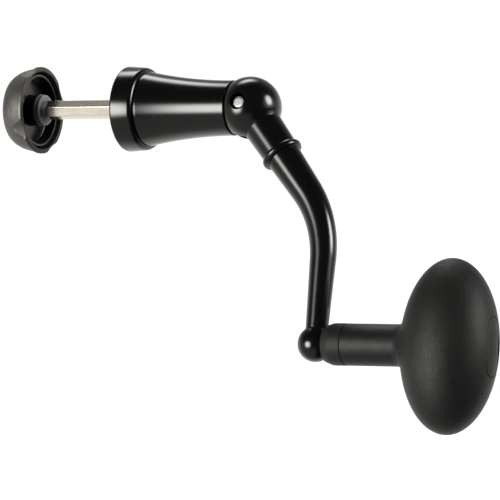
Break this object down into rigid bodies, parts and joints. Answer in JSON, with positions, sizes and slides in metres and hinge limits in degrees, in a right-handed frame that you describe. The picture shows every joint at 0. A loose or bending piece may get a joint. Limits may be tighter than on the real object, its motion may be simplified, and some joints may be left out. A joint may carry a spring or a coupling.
{
  "type": "folding fishing reel handle",
  "caption": "Folding crank handle: hexagonal drive shaft with screw cap, flared stem, ball knuckle, bent tapered arm and a free-turning egg-shaped knob.",
  "frame": {"origin": "centre of the stem's flange face, which bears on the reel's side", "axes": "+X along the drive axis away from the reel, -Y towards the knob along the lower arm, +Z along the fold pin"},
  "size_m": [0.1627, 0.1078, 0.0284],
  "materials": {
    "gloss_black": "high gloss black lacquer on metal",
    "gunmetal": "polished dark nickel plating",
    "nickel": "drawn bar, satin nickel",
    "steel": "bright steel",
    "washer_grey": "grey blue, slightly waxy",
    "black_plastic": "moulded black",
    "nylon": "natural nylon",
    "collar_rubber": "fine matte texture",
    "grip_rubber": "soft matte rubber",
    "end_plate": "satin moulded black"
  },
  "bodies": {
    "stem": {"stem_body": "gloss_black", "stem_bush": "black_plastic", "ball_seat": "nylon"},
    "shaft": {"drive_shaft": "nickel", "shaft_clip": "steel"},
    "washer": {"cap_washer": "washer_grey"},
    "cap": {"cap_shell": "gunmetal", "cap_liner": "black_plastic", "cap_screw": "steel"},
    "arm": {"knuckle": "gloss_black", "pivot_pin": "steel", "pivot_shims": "nylon", "arm": "gloss_black", "knob_spindle": "steel", "knob_thrust_washer": "nylon", "knob_washer": "steel", "knob_screw": "steel"},
    "knob": {"knob_collar": "collar_rubber", "knob_core": "black_plastic", "knob_grip": "grip_rubber", "knob_end_plate": "end_plate", "knob_bush_inner": "nylon", "knob_bush_outer": "nylon"}
  },
  "joints": [
    {"name": "shaft_draw", "type": "slide", "parent": "stem", "child": "shaft", "axis": [1, 0, 0], "range_m": [0, 0.009]},
    {"name": "arm_fold", "type": "hinge", "parent": "shaft", "child": "arm", "pos_m": [0.0407, 0, 0], "axis": [0, 0, -1], "range_deg": [0, 75]},
    {"name": "knob_spin", "type": "hinge", "parent": "arm", "child": "knob", "pos_m": [0.06855, -0.0697, 0], "axis": [1, 0, 0], "continuous": true},
    {"name": "cap_travel", "type": "slide", "parent": "shaft", "child": "washer", "axis": [-1, 0, 0], "range_m": [0, 0.003]},
    {"name": "cap_turn", "type": "hinge", "parent": "washer", "child": "cap", "pos_m": [-0.033, 0, 0], "axis": [-1, 0, 0], "range_deg": [0, 2161]}
  ],
  "couplings": [
    {"joint": "shaft_draw", "follows": "arm_fold", "m_per_rad": 0.006875},
    {"joint": "cap_turn", "follows": "cap_travel", "rad_per_m": 12566}
  ]
}
